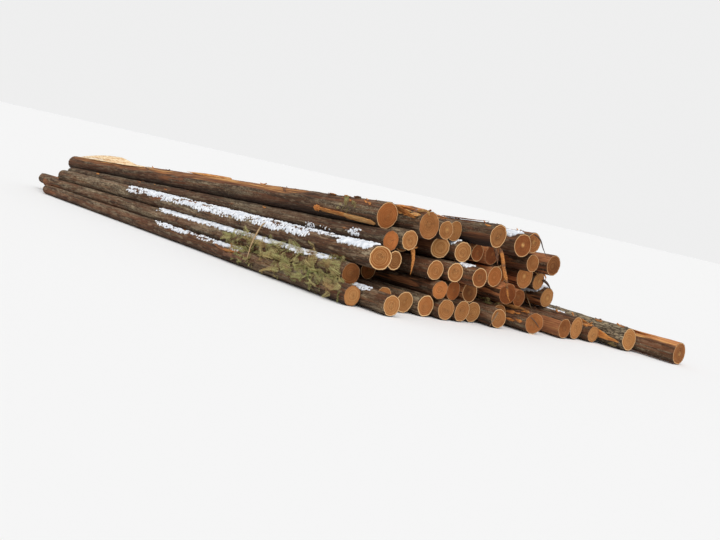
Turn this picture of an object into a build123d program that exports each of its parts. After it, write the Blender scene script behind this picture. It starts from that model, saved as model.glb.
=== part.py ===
from build123d import *
import math
import os
import numpy as np

# A stack of softwood saw logs lying on level ground, butts to the front.
# Millimetres. X runs across the stack, to the right as seen from the butts.
# Y runs along the logs from the butts to the small ends. Z is up.
# The origin is on the ground under the middle of the whole stack.

# sizes of a log
LOG_LENGTH = 10060.0        # cut length, 33 ft
LENGTH_SPREAD = 70.0        # most that one log is longer or shorter than that
BUTT_DIAMETER = 330.0       # typical butt, over the bark
TAPER = 9.2                 # diameter lost in each metre of length
TAPER_SPREAD = 0.12         # most that one log's taper differs, as a share of it
SWELL = 0.06                # the butt flares by this share of the stem
SWELL_LENGTH = 900.0        # from the butt to where the flare ends
STEM_SIDES = 36             # flat sides that stand for the round of a stem
SAW_ALLOWANCE = 20.0        # wood sawn off beyond the foremost point of an end face
SMALL_END_TURN = 4.0        # most that a small end is sawn out of square, degrees
FACE_LEAN = 3.0             # most that an end face leans up or down, degrees

# No two logs are alike. Each of these goes up and down in a wave of its own
# from log to log, and this is how far the wave moves on in a log, in radians.
LENGTH_WAVE = 2.3
TAPER_WAVE = 2.4
BUTT_LEAN_WAVE = 1.7
TIP_LEAN_WAVE = 2.1
TIP_TURN_WAVE = 3.1

# how the logs lie
SEAT_CLEARANCE = 0.3        # left between a log and the logs it rests on
SETTLED = 0.002             # a log lies still when nothing moves it by more than this
LEAST_MOVE = 0.02           # last and smallest move of a log as it is let down
CONTACT_STATIONS = 25       # places along a log where it is tried for contact

# the same in typical butt diameters
FOOT_LEFT = -1.4            # middle of the left log of the foot
FOOT_GAP = 0.04             # a foot log is set down this far from its neighbour
FOOT_MOVE = 0.002           # first and largest move of a foot log towards it
DROP_HEIGHT = 1.4           # a log is let down from this far above the highest one
DROP_MOVE = 0.04            # first and largest move of a log as it is let down
NEIGHBOURHOOD = 5           # logs further aside than this can't be touched

# how often each thing is done
FOOT_MOVES = 200
DROP_MOVES = 420
PUSHES = 6                  # neighbours that a log is pushed out of in one round
MOVE_ROUNDS = 3             # rounds of that after each move
LAST_ROUNDS = 500           # most rounds until the log lies still

# The logs of each layer from left to right.
# Each line gives the butt diameter in typical butts, how far the butt is set
# back in millimetres (minus is to the front), how many degrees it is sawn out
# of square, plus turned to the left, and above the foot also where the log is
# let down, in typical butts to the right of the origin of FOOT_LEFT.
FOOT = [
    (0.91, 250, 3),
    (0.94, -250, 2),
    (1.03, 300, -2),
    (1.00, 200, 4),
    (1.00, 100, 0),
    (1.00, 0, 3),
    (1.03, 0, -3),
    (1.00, 100, 2),
    (0.94, -150, 5),
    (1.03, 150, 0),
    (1.03, -300, 14),
    (0.91, 300, 2),
    (1.00, -400, -3),
    (1.15, -350, -8),
    (0.85, -450, 2),
    (1.21, -900, 4),
    (1.10, -1600, -2),
]
SECOND = [
    (0.97, 550, 6, -0.9),
    (0.97, 1400, 0, 0.15),
    (1.00, 1400, 3, 1.05),
    (0.97, 1300, -2, 2.25),
    (0.88, 50, 6, 3.2),
    (0.94, 100, -3, 4.1),
    (1.00, 100, 2, 5.2),
    (1.00, 500, 0, 6.3),
    (1.09, 50, 12, 7.35),
    (0.88, 100, 1, 8.35),
    (0.91, 350, 0, 9.25),
    (0.91, 700, 2, 10.15),
    (1.03, 300, -2, 11.1),
]
THIRD = [
    (1.08, 150, 14, -0.4),
    (0.91, 250, -4, 0.6),
    (1.10, 1200, 2, 1.6),
    (0.94, 100, 7, 2.65),
    (0.94, 0, 5, 3.6),
    (0.94, -200, 4, 4.55),
    (1.06, 600, 0, 5.55),
    (1.03, 150, -1, 6.65),
    (0.97, 500, 2, 7.75),
    (1.21, 300, 0, 8.8),
    (0.91, 300, -3, 9.85),
]
FOURTH = [
    (0.94, 250, 4, 0.1),
    (0.94, 200, 2, 1.1),
    (0.97, 800, 0, 2.1),
    (1.00, 350, 14, 3.05),
    (1.00, 200, 7, 4.05),
    (0.88, 200, -2, 5.0),
    (1.06, 200, -6, 6.0),
    (0.94, 600, 1, 7.1),
    (0.88, 0, 3, 8.2),
    (1.03, 0, 0, 9.4),
]
TOP = [
    (1.21, 550, 4, 0.55),
    (1.25, 150, 0, 1.65),
    (0.88, 150, 3, 2.85),
    (0.97, 300, -3, 3.65),
    (1.12, -250, 0, 4.7),
    (1.13, -100, 3, 6.45),
    (1.03, 0, -2, 7.6),
]


class StackLog:
    """One log: a flared butt, a tapering stem and a saw cut at either end.

    Its radii are taken square to its flat sides. One side looks straight down
    in every log, so neighbours meet flat to flat."""

    def __init__(self, number, share, setback, turn, place=FOOT_LEFT):
        self.number = number
        self.butt = setback
        self.length = LOG_LENGTH + LENGTH_SPREAD * math.sin(LENGTH_WAVE * number)
        self.turn = turn
        self.lean = FACE_LEAN * math.sin(BUTT_LEAN_WAVE * number)
        self.tip_turn = SMALL_END_TURN * math.sin(TIP_TURN_WAVE * number)
        self.tip_lean = FACE_LEAN * math.cos(TIP_LEAN_WAVE * number)
        self.place = place * BUTT_DIAMETER
        radius = share * BUTT_DIAMETER / 2
        stem = radius / (1 + SWELL)
        taper = TAPER / 1000 / 2 * (1 + TAPER_SPREAD * math.sin(TAPER_WAVE * number))
        small = stem - taper * self.length
        self.front = radius * math.tan(math.radians(abs(self.turn) + abs(self.lean)))
        self.back = small * math.tan(math.radians(abs(self.tip_turn) + abs(self.tip_lean)))
        start = -self.front - SAW_ALLOWANCE
        end = self.length + self.back + SAW_ALLOWANCE
        self.along = np.array([start, SWELL_LENGTH, end])
        self.radii = np.array([radius, stem - taper * SWELL_LENGTH, stem - taper * end])
        self.set_down(self.radii[0], self.radii[-1])

    def set_down(self, butt_height, tip_height):
        self.butt_at = np.array([self.place, butt_height])
        self.tip_at = np.array([self.place, tip_height])

    def share_along(self, y):
        return (y - self.butt) / self.length

    def radius_at(self, y):
        return np.interp(y - self.butt, self.along, self.radii)

    def centre_at(self, y):
        w = self.share_along(y)[..., None]
        return self.butt_at * (1 - w) + self.tip_at * w

    def slope(self):
        return (self.tip_at - self.butt_at) / self.length

    def span(self):
        """From the foremost point of the butt face to the last of the small end."""
        return self.butt - self.front, self.butt + self.length + self.back

    def breaks(self):
        return self.butt + self.along

    def move(self, shift):
        self.butt_at = self.butt_at + shift
        self.tip_at = self.tip_at + shift

    def push(self, y, shift):
        """Shift the stem at one station, sharing the move between its ends."""
        w = float(self.share_along(y))
        both = (1 - w) ** 2 + w ** 2
        self.butt_at = self.butt_at + shift * (1 - w) / both
        self.tip_at = self.tip_at + shift * w / both


def contact_stations(log, other):
    """Stations where two neighbouring stems are tried against each other."""
    low = max(log.span()[0], other.span()[0])
    high = min(log.span()[1], other.span()[1])
    even = np.linspace(low, high, CONTACT_STATIONS)
    return np.concatenate([even, np.clip(log.breaks(), low, high), np.clip(other.breaks(), low, high)])


def clear_ground(log):
    ground = log.breaks()
    depth = log.radius_at(ground) - log.centre_at(ground)[:, 1]
    k = int(np.argmax(depth))
    if depth[k] > 0:
        log.push(ground[k], np.array([0.0, depth[k]]))
    return max(depth[k], 0.0)


def side_towards(away):
    """The direction of the flat side that looks most nearly along a vector."""
    step = 2 * math.pi / STEM_SIDES
    turn = np.round(np.arctan2(away[..., 1], away[..., 0]) / step) * step
    return np.stack([np.cos(turn), np.sin(turn)], axis=-1)


def clear_neighbours(log, stations, centres, slopes, reach):
    """Push the log out of the neighbours it has sunk into, deepest first.

    A leaning stem is cut by an upright plane a little longer the way it leans,
    so two stems reach further towards each other that way."""
    slopes = ((slopes + log.slope()) / 2)[:, None, :]
    away = log.centre_at(stations) - centres
    sides = side_towards(away)
    reach = reach * (1 + (sides * slopes).sum(axis=-1) ** 2 / 2)
    depth = reach - (away * sides).sum(axis=-1)
    k = depth.argmax(axis=1)
    deepest = depth[np.arange(len(k)), k]
    worst = 0.0
    for j in np.argsort(-deepest)[:PUSHES]:
        if deepest[j] <= 0:
            break
        y = stations[j, k[j]]
        apart = log.centre_at(y) - centres[j, k[j]]
        side = side_towards(apart)
        overlap = reach[j, k[j]] - float(apart @ side)
        if overlap > 0:
            log.push(y, side * overlap)
            worst = max(worst, overlap)
    return worst


def let_down(log, laid, pull, first_move, moves):
    """Let a log down onto the ones already laid until it lies still."""
    reach_aside = NEIGHBOURHOOD * BUTT_DIAMETER
    near = [other for other in laid if abs(other.butt_at[0] - log.place) < reach_aside]
    if near:
        stations = np.array([contact_stations(log, other) for other in near])
        centres = np.array([other.centre_at(y) for other, y in zip(near, stations)])
        slopes = np.array([other.slope() for other in near])
        reach = np.array([other.radius_at(y) for other, y in zip(near, stations)])
        reach = reach + log.radius_at(stations) + SEAT_CLEARANCE

    def clear():
        worst = clear_ground(log)
        if near:
            worst = max(worst, clear_neighbours(log, stations, centres, slopes, reach))
        return worst

    for i in range(moves):
        log.move(pull * (first_move * (1 - i / moves) ** 2 + LEAST_MOVE))
        for _ in range(MOVE_ROUNDS):
            if clear() <= 0:
                break
    for _ in range(LAST_ROUNDS):
        if clear() < SETTLED:
            break


def lay_foot(logs):
    """Lay the logs on the ground from left to right, each up to the last."""
    laid = []
    for log in logs:
        first_move = 0.0
        if laid:
            last = laid[-1]
            log.place = last.butt_at[0] + last.radii[0] + log.radii[0] + FOOT_GAP * BUTT_DIAMETER
            first_move = FOOT_MOVE * BUTT_DIAMETER
        log.set_down(log.radii[0], log.radii[-1])
        let_down(log, laid, np.array([-1.0, -1.0]), first_move, FOOT_MOVES)
        laid.append(log)
    return laid


def lay_layer(logs, laid):
    """Let each log down into the hollow between its neighbours below."""
    for log in logs:
        highest = max(max(other.butt_at[1], other.tip_at[1]) for other in laid)
        height = highest + DROP_HEIGHT * BUTT_DIAMETER
        log.set_down(height, height)
        let_down(log, laid, np.array([0.0, -1.0]), DROP_MOVE * BUTT_DIAMETER, DROP_MOVES)
        laid.append(log)


def end_plane(log, y, turn, lean, outward):
    """The plane of a saw cut, its normal pointing out of the log."""
    centre = log.centre_at(np.array(y))
    a = math.radians(turn)
    b = math.radians(lean)
    normal = (-math.sin(a) * math.cos(b), outward * math.cos(a) * math.cos(b), math.sin(b))
    return Plane(origin=(centre[0], y, centre[1]), z_dir=normal)


def stem_stretch(log, start):
    """One tapering stretch of the stem, from one of its breaks to the next."""
    length = log.along[start + 1] - log.along[start]
    taper = math.degrees(math.atan((log.radii[start] - log.radii[start + 1]) / length))
    section = RegularPolygon(log.radii[start], STEM_SIDES, major_radius=False, rotation=180 / STEM_SIDES)
    return extrude(Plane(origin=(0, 0, log.along[start])) * section, amount=length, taper=taper)


def log_solid(log):
    """The flared butt and the stem in line, laid in place and sawn off at both ends."""
    slope = log.slope()
    seat = Plane(
        origin=(log.butt_at[0], log.butt, log.butt_at[1]),
        x_dir=(1, -slope[0], 0),
        z_dir=(slope[0], 1, slope[1]),
    )
    stem = seat.location * (stem_stretch(log, 0) + stem_stretch(log, 1))
    butt = end_plane(log, log.butt, log.turn, log.lean, -1)
    tip = end_plane(log, log.butt + log.length, log.tip_turn, log.tip_lean, 1)
    stem = split(stem, bisect_by=butt, keep=Keep.BOTTOM)
    return split(stem, bisect_by=tip, keep=Keep.BOTTOM)


layers = []
number = 0
for lines in (FOOT, SECOND, THIRD, FOURTH, TOP):
    layers.append([StackLog(number + i, *line) for i, line in enumerate(lines)])
    number += len(lines)

stack = lay_foot(layers[0])
for layer in layers[1:]:
    lay_layer(layer, stack)

solids = [log_solid(log) for log in stack]
box = Compound(children=[s.solid() for s in solids]).bounding_box()
to_origin = Location((-(box.min.X + box.max.X) / 2, -(box.min.Y + box.max.Y) / 2, -box.min.Z))

os.makedirs("parts", exist_ok=True)
for log, solid in zip(stack, solids):
    export_step(to_origin * solid.solid(), "parts/log_%02d.step" % (log.number + 1))
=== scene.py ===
import math
import random
from types import SimpleNamespace

import bpy
import numpy as np
from mathutils import Matrix, Vector


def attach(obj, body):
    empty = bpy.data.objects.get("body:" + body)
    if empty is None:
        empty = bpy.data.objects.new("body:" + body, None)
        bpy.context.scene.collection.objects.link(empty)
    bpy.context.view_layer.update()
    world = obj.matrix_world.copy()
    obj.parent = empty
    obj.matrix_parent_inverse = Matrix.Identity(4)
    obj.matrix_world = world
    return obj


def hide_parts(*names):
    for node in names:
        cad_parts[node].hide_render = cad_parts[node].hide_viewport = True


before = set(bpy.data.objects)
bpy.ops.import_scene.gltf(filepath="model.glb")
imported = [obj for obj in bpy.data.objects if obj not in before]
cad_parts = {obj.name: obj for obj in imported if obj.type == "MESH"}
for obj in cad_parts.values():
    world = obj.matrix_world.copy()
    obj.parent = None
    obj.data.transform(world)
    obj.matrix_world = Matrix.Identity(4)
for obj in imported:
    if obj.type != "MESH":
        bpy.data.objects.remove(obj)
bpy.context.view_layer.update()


# The logs
# Saw logs of a softwood with thin, stringy bark, cross-cut by chainsaw to one trade length.
# Each is one stem that swells towards the stump, with the bark scraped off where logs rubbed
# together when they were skidded, and it lies in the seat that the frame gives it.

class Grain:
    """A socket of a node tree. Sums on it add Math nodes, and step adds any other node: a geometry node
    by its short name, and the others by their whole names."""

    def __init__(self, tree, socket=None):
        self.tree = tree
        self.socket = socket

    def step(self, kind, values=None, out=0, **settings):
        node = self.tree.nodes.new(kind if "Node" in kind else "GeometryNode" + kind)
        for name, setting in settings.items():
            setattr(node, name, setting)
        for key, value in (values or {}).items():
            if isinstance(value, Grain):
                self.tree.links.new(value.socket, node.inputs[key])
            else:
                node.inputs[key].default_value = value
        return Grain(self.tree, node.outputs[out])

    def then(self, kind, values=None, out=0, **settings):
        """A node with this socket in its first input."""
        return self.step(kind, {0: self, **(values or {})}, out, **settings)

    def other(self, out):
        return Grain(self.tree, self.socket.node.outputs[out])

    def maths(self, operation, *others):
        return self.then("ShaderNodeMath", dict(enumerate(others, 1)), operation=operation)

    def __add__(self, value):
        return self.maths("ADD", value)

    __radd__ = __add__

    def __mul__(self, value):
        return self.maths("MULTIPLY", value)

    __rmul__ = __mul__

    def __sub__(self, value):
        return self.maths("SUBTRACT", value)

    def __rsub__(self, value):
        return self.step("ShaderNodeMath", {0: value, 1: self}, operation="SUBTRACT")

    def __truediv__(self, value):
        return self.maths("DIVIDE", value)

    def __pow__(self, value):
        return self.maths("POWER", value)

    def __abs__(self):
        return self.maths("ABSOLUTE")

    def clamped(self):
        return self.then("ShaderNodeMath", {1: 0.0}, operation="ADD", use_clamp=True)

    def rising(self, low, high):
        """0 below low, 1 above high, and smooth between them."""
        return self.then("ShaderNodeMapRange", {1: low, 2: high}, interpolation_type="SMOOTHSTEP")

    def vector(self, operation, other=None):
        """Vector maths on this vector and another one, or on this one alone."""
        out = "Value" if operation in ("LENGTH", "DOT_PRODUCT") else 0
        values = {} if other is None else {1: other}
        return self.then("ShaderNodeVectorMath", values, out, operation=operation)

    def scaled(self, size):
        return self.then("ShaderNodeVectorMath", {"Scale": size}, operation="SCALE")

    def stretched(self, across, along):
        """A place on a log, scaled for a pattern that runs along the grain."""
        return self.vector("MULTIPLY", (across, along, across))

    def parts(self):
        """The X, Y and Z of this vector."""
        split = self.then("ShaderNodeSeparateXYZ")
        return split, split.other(1), split.other(2)

    def xyz(self, x=0.0, y=0.0, z=0.0):
        return self.step("ShaderNodeCombineXYZ", {0: x, 1: y, 2: z})

    def mottle(self, own, detail=3.0, roughness=0.55):
        """Cloudy pattern from 0 to 1 at a place, different on each log."""
        values = {"W": own, "Scale": 1.0, "Detail": detail, "Roughness": roughness}
        return self.then("ShaderNodeTexNoise", values, noise_dimensions="4D")

    def tint(self, first, second):
        """A colour: first where this value is 0, second where it is 1. Both are Grains or sRGB triples."""
        first, second = (value if isinstance(value, Grain) else colour(*value) for value in (first, second))
        return self.then("ShaderNodeMix", {6: first, 7: second}, out=2, data_type="RGBA")

    def spot(self):
        """The place on the piece, in metres."""
        return self.step("ShaderNodeTexCoord", out="Object")

    def bumped(self, distance, strength):
        return self.step("ShaderNodeBump", {"Height": self, "Distance": distance, "Strength": strength})


def colour(red, green, blue):
    """An sRGB colour of 0 to 255 as the linear colour that a shader takes."""
    linear = (((v / 255 + 0.055) / 1.055) ** 2.4 if v > 10 else v / 3295 for v in (red, green, blue))
    return (*linear, 1.0)


def new_finish(name):
    """A material with a Principled shader, the Grain that adds nodes to it, and a way to set its sockets."""
    finish = bpy.data.materials.new(name)
    finish.use_nodes = True
    tree = finish.node_tree
    shader = next(n for n in tree.nodes if n.type == "BSDF_PRINCIPLED")

    def coat(**sockets):
        for label, value in sockets.items():
            socket = shader.inputs[label.replace("_", " ")]
            if isinstance(value, Grain):
                tree.links.new(value.socket, socket)
            else:
                socket.default_value = value

    return finish, Grain(tree), coat


def attributes(grain, names, out="Fac"):
    """Values that a tree stored on its mesh."""
    return [grain.step("ShaderNodeAttribute", out=out, attribute_name=name) for name in names.split()]


# Bark: grey-brown and stringy, with furrows along the stem that are darkened as painted shade, pale lichen in
# patches, and red-brown to orange inner bark where the outside is scraped away.
log_bark, grain, coat = new_finish("log_bark")
[lay] = attributes(grain, "lay", "Vector")
own, bare, fresh, raw, knot, grey, damp = attributes(grain, "own bare fresh raw knot grey damp")
fibre = lay.stretched(46.0, 2.6).mottle(own * 31.0, 6.0, 0.7)
furrow = lay.stretched(19.0, 1.5).mottle(own * 17.0, 5.0, 0.62)
patch = lay.stretched(5.0, 0.9).mottle(own * 23.0, 4.0, 0.6)
speck = lay.stretched(60.0, 34.0).mottle(own * 11.0, 3.0, 0.6)
strip = lay.stretched(24.0, 0.9).mottle(own * 7.0, 4.0, 0.6)
streak = lay.stretched(58.0, 1.3).mottle(own * 13.0, 3.0, 0.6)
# Cracks along the furrows, which carry painted shade in the bark colour.
furrow_shade = 1 - abs(furrow - 0.5).rising(0.0, 0.07)
warp = grain.xyz(patch * 2.2 + own * 371.0, strip * 2.2, fibre * 1.6)
warp = lay.stretched(27.0, 8.0).vector("ADD", warp)
flake = warp.then("ShaderNodeTexVoronoi", {"Scale": 1.0}).other("Color") * 1.0
flake_rim = warp.then("ShaderNodeTexVoronoi", {"Scale": 1.0}, feature="DISTANCE_TO_EDGE").rising(0.0, 0.14)
scaly = grey * 0.7 + 0.3
plate_colour = (patch + grey * 0.34 - 0.17).rising(0.36, 0.64).tint((108, 75, 47), (144, 122, 92))
plate_colour = fibre.rising(0.34, 0.66).tint((68, 45, 30), plate_colour)
plate_colour = (flake.rising(0.52, 0.72) * scaly * 0.55).tint(plate_colour, (176, 158, 130))
plate_colour = (flake.rising(0.48, 0.28) * scaly * 0.5).tint(plate_colour, (62, 42, 29))
lichen = (speck * 0.5 + patch * 0.5 + grey * 0.08).rising(0.55, 0.64)
bark_colour = (lichen * 0.55).tint(plate_colour, (184, 168, 138))
# Painted shade: the gaps between the bark plates and, below, the cracks in the furrows are darkened.
bark_colour = ((1 - flake_rim) * scaly * 0.6).tint(bark_colour, (40, 27, 20))
bark_colour = (furrow_shade * 0.6).tint(bark_colour, (38, 25, 18))
rubbed = (strip.rising(0.44, 0.60) * (1 - grey) * 0.8).tint(bark_colour, (126, 76, 48))
inner_colour = fibre.rising(0.32, 0.68).tint((84, 49, 32), (146, 94, 60))
inner_colour = (streak.rising(0.56, 0.68) * 0.5).tint(inner_colour, (188, 138, 96))
# Painted light: on the logs in the nooks of the pile the inner bark is brighter, for the glow of snow that
# reaches in between them.
inner_colour = raw.tint(inner_colour, fibre.rising(0.32, 0.68).tint((158, 94, 60), (224, 152, 98)))
fresh_colour = streak.rising(0.36, 0.64).tint((156, 92, 48), (230, 176, 108))
inner_colour = (fresh * 0.62 + (strip - 0.5) * 2.8).rising(0.25, 0.75).tint(inner_colour, fresh_colour)
peeled = bare + (fibre - 0.5) * 0.9 + (strip - 0.5) * (1.5 - fresh * 0.6) - 0.3
whole_colour = peeled.rising(0.18, 0.48).tint(rubbed, inner_colour)
whole_colour = knot.rising(0.35, 0.75).tint(whole_colour, (150, 100, 60))
knot_rim = knot.rising(0.12, 0.36) * (1 - knot.rising(0.40, 0.62))
whole_colour = (knot_rim * 0.8).tint(whole_colour, (44, 28, 20))
# Painted shade on the undersides, together with the all-over darkening of the wetter logs.
whole_colour = damp.tint(whole_colour, (36, 25, 20))
relief = fibre * 0.55 + furrow.maths("MINIMUM", 0.55) * 0.9
relief = relief + (speck * 0.25 + flake_rim * scaly * 0.4) * (1 - bare)
coat(Base_Color=whole_colour, Roughness=0.9, Specular_IOR_Level=0.3, Normal=relief.bumped(0.016, 0.9))


# Sawn ends: warm brown heartwood with thin growth rings, a narrow pale band of sapwood inside
# the bark, drying checks out of the pith, and the faint arcs of the saw chain.
sawn_end, grain, coat = new_finish("sawn_end")
[lay] = attributes(grain, "lay", "Vector")
own, edge, ruddy, sap, pale, light_pith, ringed = attributes(grain, "own edge ruddy sap pale pith ringed")
RING_STEP, SAW_STEP = 0.0062, 0.021
SAW_RUN = (0.55, 0.0, 0.83)
face = lay.vector("MULTIPLY", (1.0, 0.0, 1.0))
pith = grain.xyz((own * 77.0).maths("SINE") * 0.018, 0.0, (own * 131.0).maths("SINE") * 0.014)
from_pith = face.vector("SUBTRACT", pith)
distance = from_pith.vector("LENGTH")
direction = from_pith.vector("NORMALIZE")
wander = face.stretched(13.0, 1.0).mottle(own * 19.0, 2.0)
ring_place = distance + (wander - 0.5) * 0.022
fine_ring = (ring_place * (math.tau / RING_STEP)).maths("SINE") * 0.5 + 0.5
wide_ring = {"W": ring_place * 62.0 + own * 40.0, "Scale": 1.0, "Detail": 2.0}
wide_ring = grain.step("ShaderNodeTexNoise", wide_ring, noise_dimensions="1D")
stain = face.stretched(9.0, 1.0).mottle(own * 29.0 + 3.0, 4.0, 0.6)
fleck = face.stretched(120.0, 1.0).mottle(own * 5.0, 3.0, 0.6)
blotch = face.stretched(6.0, 1.0).mottle(own * 53.0, 3.0, 0.6)
kerf = face.vector("DOT_PRODUCT", SAW_RUN) + (wander - 0.5) * 0.012
kerf = (kerf * (math.tau / SAW_STEP)).maths("SINE") * 0.5 + 0.5
redness = (ruddy + (stain - 0.5) * 0.5).rising(0.15, 0.95)
light_heart = redness.tint((192, 142, 88), (200, 120, 64))
dark_heart = redness.tint((122, 77, 37), (114, 58, 24))
# Painted light: a paleness above 1 turns the whole heart to the light colour on butts that lie in shade.
heart = (pale + (blotch - 0.5) * 1.3).clamped().tint(dark_heart, light_heart)
dark_ring = pale.tint((84, 45, 18), (150, 86, 38))
heart = (wide_ring.rising(0.42, 0.58) * (0.35 + ringed * 0.45)).tint(heart, dark_ring)
heart = (fine_ring * 0.34).tint(heart, dark_ring)
heart = ((1 - distance / 0.05).clamped().rising(0.0, 0.9) * light_pith * 0.8).tint(heart, (226, 174, 106))
sap_colour = (fine_ring * 0.22).tint((230, 192, 138), (198, 150, 94))
into_sap = edge + (wander - 0.5) * 0.05 - (1 - sap)
heart_rim = 1 - abs(into_sap + 0.045).rising(0.0, 0.05)
wood = into_sap.rising(-0.012, 0.02).tint((heart_rim * 0.55).tint(heart, (140, 72, 32)), sap_colour)
wood = (stain.rising(0.60, 0.78) * 0.30).tint(wood, (122, 80, 46))
wood = (abs(fleck - 0.5).rising(0.10, 0.25) * (pale * 0.18 + 0.08)).tint(wood, (224, 172, 104))
spoke = direction.stretched(2.3, 1.0).mottle(own * 43.0, 1.0)
check_width = 0.004 + (1 - (distance / 0.16).clamped()) * 0.012
check = 1 - (abs(spoke - 0.5) / check_width).rising(0.35, 1.0)
check = check * (1 - (edge + wander * 0.6).rising(0.55, 0.95))
wood = (check * 0.5).tint(wood, (70, 42, 27))
wood = (edge.rising(0.952, 0.962) * 0.8).tint(wood, (150, 78, 36))
wood = edge.rising(0.966, 0.974).tint(wood, fleck.rising(0.35, 0.65).tint((60, 40, 30), (112, 82, 62)))
relief = kerf * 0.35 + fleck * 0.45 - check * 1.4 + fine_ring * 0.15
coat(Base_Color=wood, Roughness=0.85, Specular_IOR_Level=0.2, Normal=relief.bumped(0.005, 0.9))


def new_tree(name, **kinds):
    """A geometry tree with named inputs of some kinds, the Grain that adds nodes to it, and the inputs."""
    tree = bpy.data.node_groups.new(name, "GeometryNodeTree")
    tree.interface.new_socket("Geometry", in_out="OUTPUT", socket_type="NodeSocketGeometry")
    for kind, labels in dict(Geometry="Geometry", **kinds).items():
        for label in labels.split():
            tree.interface.new_socket(label, in_out="INPUT", socket_type="NodeSocket" + kind)
    entry = tree.nodes.new("NodeGroupInput")
    given = {socket.name: Grain(tree, socket) for socket in entry.outputs if socket.name}
    return tree, Grain(tree), SimpleNamespace(**given)


def end_tree(made, *finishes):
    """Ends a tree in Realize Instances and Set Material: each finish, with the faces it goes on."""
    made = made.then("RealizeInstances")
    for finish, faces in finishes:
        values = {"Material": finish}
        if faces:
            values["Selection"] = faces
        made = made.then("SetMaterial", values)
    exit_node = made.tree.nodes.new("NodeGroupOutput")
    made.tree.links.new(made.socket, exit_node.inputs[0])


def linked(name, data):
    """A new object of the scene."""
    thing = bpy.data.objects.new(name, data)
    bpy.context.scene.collection.objects.link(thing)
    return thing


def grown(name, tree, start=None, **values):
    """A plain mesh object made by a geometry tree."""
    piece = linked(name, start or bpy.data.meshes.new(name))
    modifier = piece.modifiers.new("grow", "NODES")
    modifier.node_group = tree
    casts = {"NodeSocketFloat": float, "NodeSocketVector": tuple}
    for item in tree.interface.items_tree:
        if item.in_out == "INPUT" and item.name in values:
            cast = casts.get(item.socket_type, lambda value: value)
            modifier[item.identifier] = cast(values[item.name])
    bpy.context.view_layer.update()
    graph = bpy.context.evaluated_depsgraph_get()
    made = bpy.data.meshes.new_from_object(piece.evaluated_get(graph), depsgraph=graph)
    piece.modifiers.remove(modifier)
    piece.data = made
    made.name = name
    return piece


def stored(made, name, value, kind="FLOAT", domain="POINT"):
    values = {"Name": name, "Value": value}
    return made.then("StoreNamedAttribute", values, data_type=kind, domain=domain)


# A stem is a sheet rolled up along the axis. Its first and last rows close in on the sawn faces.
CAP_RINGS = 4
RIDGE_DEPTH = 0.007
stem_tree, grain, given = new_tree(
    "sawn_stem", Vector="Butt_Centre Tip_Centre Butt_Face Tip_Face", Int="Around Along", Material="Bark End",
    Float="Butt_Radius Swell_Radius Tip_Radius Swell_At Seed Fluting Flattening Flat_Turn Ridges Bare Scrape "
          "Scrape_Turn Scrape_From Scrape_To Newness Wet Raw Grey Ruddy Pale Sap Pith Ringed",
)
sheet = grain.step(
    "MeshGrid",
    {"Size X": 1.0, "Size Y": 1.0, "Vertices X": given.Around + 1, "Vertices Y": given.Along + 1},
)
round_part, row_part, _ = grain.step("InputPosition").parts()
row = (row_part + 0.5) * given.Along
row_left = row.maths("MINIMUM", given.Along - row)
reach = 1 - (1 - (row_left / CAP_RINGS).clamped()) ** 1.6
part_way = ((row - CAP_RINGS) / (given.Along - 2 * CAP_RINGS)).clamped() ** 1.22
turn = (round_part + 0.25) * math.tau
side, height = turn.maths("COSINE"), turn.maths("SINE")
run = given.Tip_Centre.vector("SUBTRACT", given.Butt_Centre)
length = run.vector("LENGTH")
along = part_way * length
flare = (along / given.Swell_At).clamped()
taper = ((along - given.Swell_At) / (length - given.Swell_At)).clamped()
radius = given.Butt_Radius + (given.Swell_Radius - given.Butt_Radius) * flare
radius = radius + (given.Tip_Radius - given.Swell_Radius) * taper
at_surface = grain.xyz(side * radius, along, height * radius)
hollow = grain.xyz(side * 0.95, along * 0.4, height * 0.95).mottle(given.Seed, 1.0)
near_butt = (along * -0.9).maths("EXPONENT")
hollow = ((hollow - 0.32) / 0.36).clamped() * given.Fluting * (near_butt * 0.7 + 0.3)
oval = 0.5 - ((turn - given.Flat_Turn) * 2).maths("COSINE") * 0.5
oval = oval * given.Flattening * (along * -0.6).maths("EXPONENT")
bared = at_surface.stretched(3.1, 0.36).mottle(given.Seed + 7.0, 3.0)
bared = (bared - (0.72 - given.Bare * 0.35)).rising(-0.05, 0.05)
shy = at_surface.stretched(7.0, 0.8).mottle(given.Seed + 3.0, 3.0)
scraped = (((turn - given.Scrape_Turn).maths("COSINE") - 1) / 0.16).maths("EXPONENT")
scraped = scraped * (along - given.Scrape_From).rising(-0.3, 1.2)
scraped = scraped * (1 - (along - given.Scrape_To).rising(-1.2, 0.2))
scraped = (scraped * given.Scrape + (shy - 0.5) * 1.7).rising(0.30, 0.65) * given.Scrape.rising(0.0, 0.1)
bared = bared.maths("MAXIMUM", scraped)
strings = at_surface.stretched(17.0, 1.1).mottle(given.Seed + 11.0, 4.0, 0.6)
groove = 1 - abs(strings - 0.5).rising(0.0, 0.09)
lumps = at_surface.stretched(6.0, 2.2).mottle(given.Seed + 5.0, 2.0)
knob = at_surface.stretched(2.2, 2.2).then(
    "ShaderNodeTexVoronoi", {"W": given.Seed, "Scale": 1.0}, voronoi_dimensions="4D"
)
knob = 1 - knob.rising(0.03, 0.16)
skin = radius + 0.003 - hollow - oval - groove * given.Ridges * (1 - bared * 0.7)
skin = skin - (1 - lumps.rising(0.3, 0.7)) * 0.005 - bared * 0.006 + knob * 0.008
spread = grain.xyz(side, 0.0, height).scaled(skin * reach)


def shift_onto(cut):
    """How far along the stem, as a part of its length, a point goes to lie on a sawn face."""
    return spread.vector("DOT_PRODUCT", cut) / run.vector("DOT_PRODUCT", cut) * -1.0


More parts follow.
